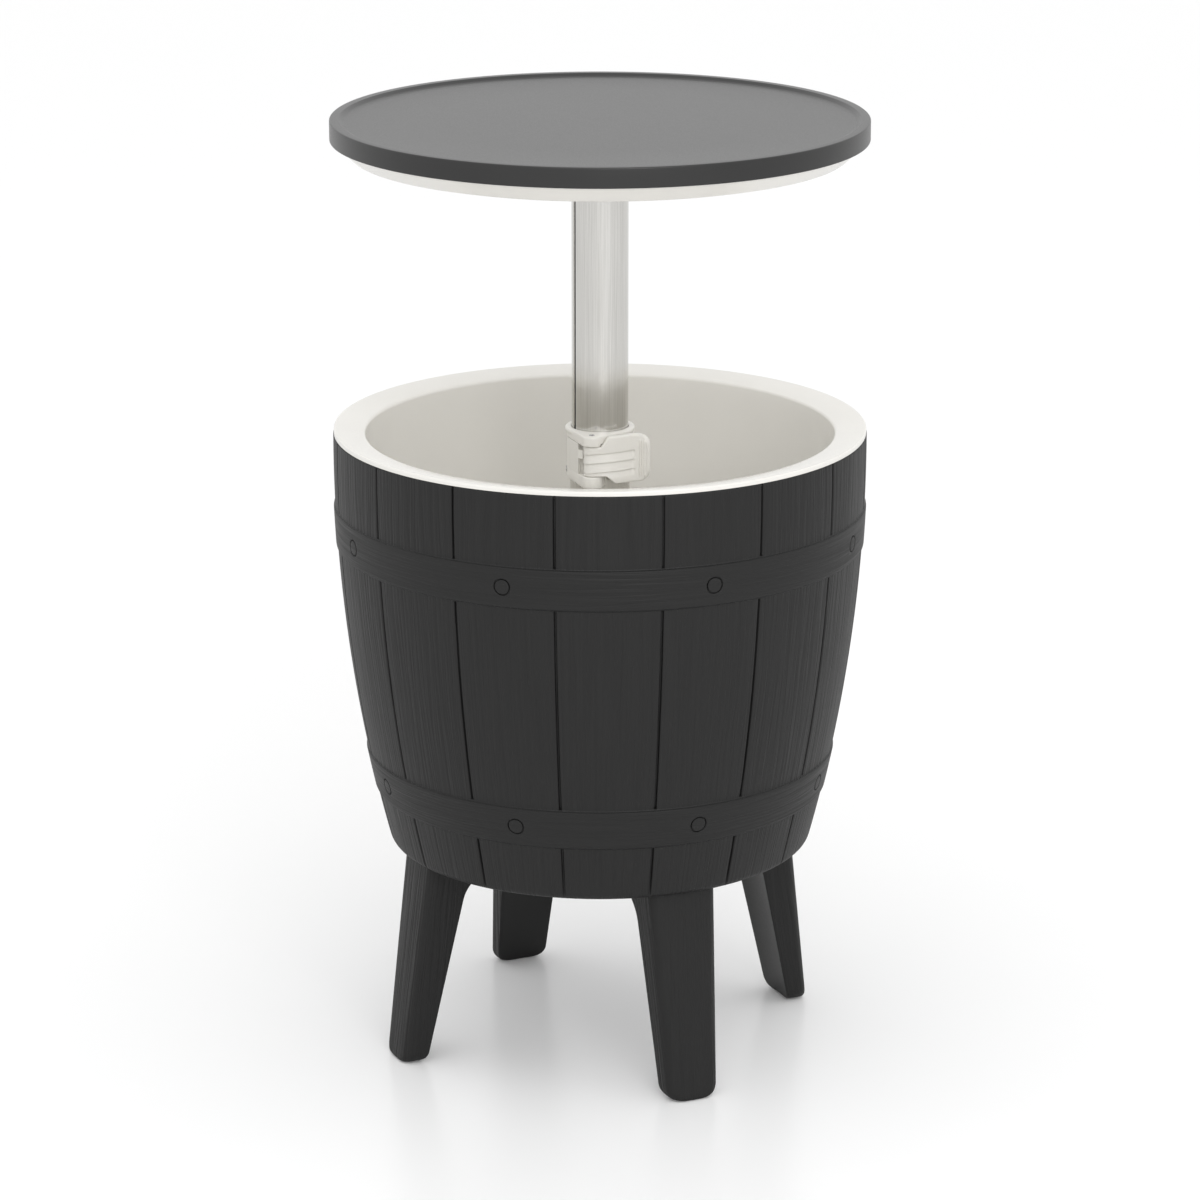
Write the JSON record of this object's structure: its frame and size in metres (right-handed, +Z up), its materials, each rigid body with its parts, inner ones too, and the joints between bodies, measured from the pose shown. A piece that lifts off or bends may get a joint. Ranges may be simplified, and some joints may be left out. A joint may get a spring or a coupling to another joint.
{
  "type": "cooler table with lid",
  "caption": "Barrel-shaped patio cooler on splayed legs: an insulated tank whose round lid rises on a clamped mast to serve as a bar table, with a drain plug below.",
  "frame": {"origin": "on the floor, under the middle of the barrel and the mast", "axes": "+Z up along the mast, with the lid raised at rest; -Y is the front, between the two front legs; +X is to the right"},
  "size_m": [0.4464, 0.4464, 0.7957],
  "materials": {
    "shell_plastic": "matte, moulded wood grain",
    "leg_plastic": "matte, moulded wood grain",
    "table_plastic": "satin",
    "white_plastic": "gloss",
    "clamp_plastic": "satin",
    "foam": "foam",
    "tube_metal": "satin, anodised",
    "steel": "plated",
    "plain_plastic": "matte",
    "rubber": "matte"
  },
  "bodies": {
    "barrel": {"outer_shell": "shell_plastic", "tank_liner": "white_plastic", "insulation_foam": "foam", "leg_front_right": "leg_plastic", "leg_back_right": "leg_plastic", "leg_back_left": "leg_plastic", "leg_front_left": "leg_plastic", "leg_screws": "steel", "column_socket": "white_plastic", "socket_screws": "steel", "lower_tube": "tube_metal", "clamp_collar": "clamp_plastic", "collar_rivets": "steel", "brake_pad": "rubber", "lever_pin": "steel"},
    "clamp_lever": {"clamp_lever": "clamp_plastic"},
    "drain_plug": {"drain_plug": "plain_plastic", "drain_gasket": "rubber"},
    "mast": {"mast_tube": "tube_metal", "mast_glide": "plain_plastic", "lid_hub": "white_plastic", "hub_screws": "steel", "lid_underside": "white_plastic", "lid_foam": "foam", "lid_screws": "steel", "tabletop": "table_plastic"}
  },
  "joints": [
    {"name": "mast_slide", "type": "slide", "parent": "barrel", "child": "mast", "axis": [0, 0, 1], "range_m": [-0.232, 0]},
    {"name": "clamp_lever_hinge", "type": "hinge", "parent": "barrel", "child": "clamp_lever", "pos_m": [0.00594, -0.0351, 0.5129], "axis": [0, 0, -1], "range_deg": [0, 100]},
    {"name": "drain_plug_pull", "type": "slide", "parent": "barrel", "child": "drain_plug", "axis": [0, 0, -1], "range_m": [0, 0.035]}
  ]
}
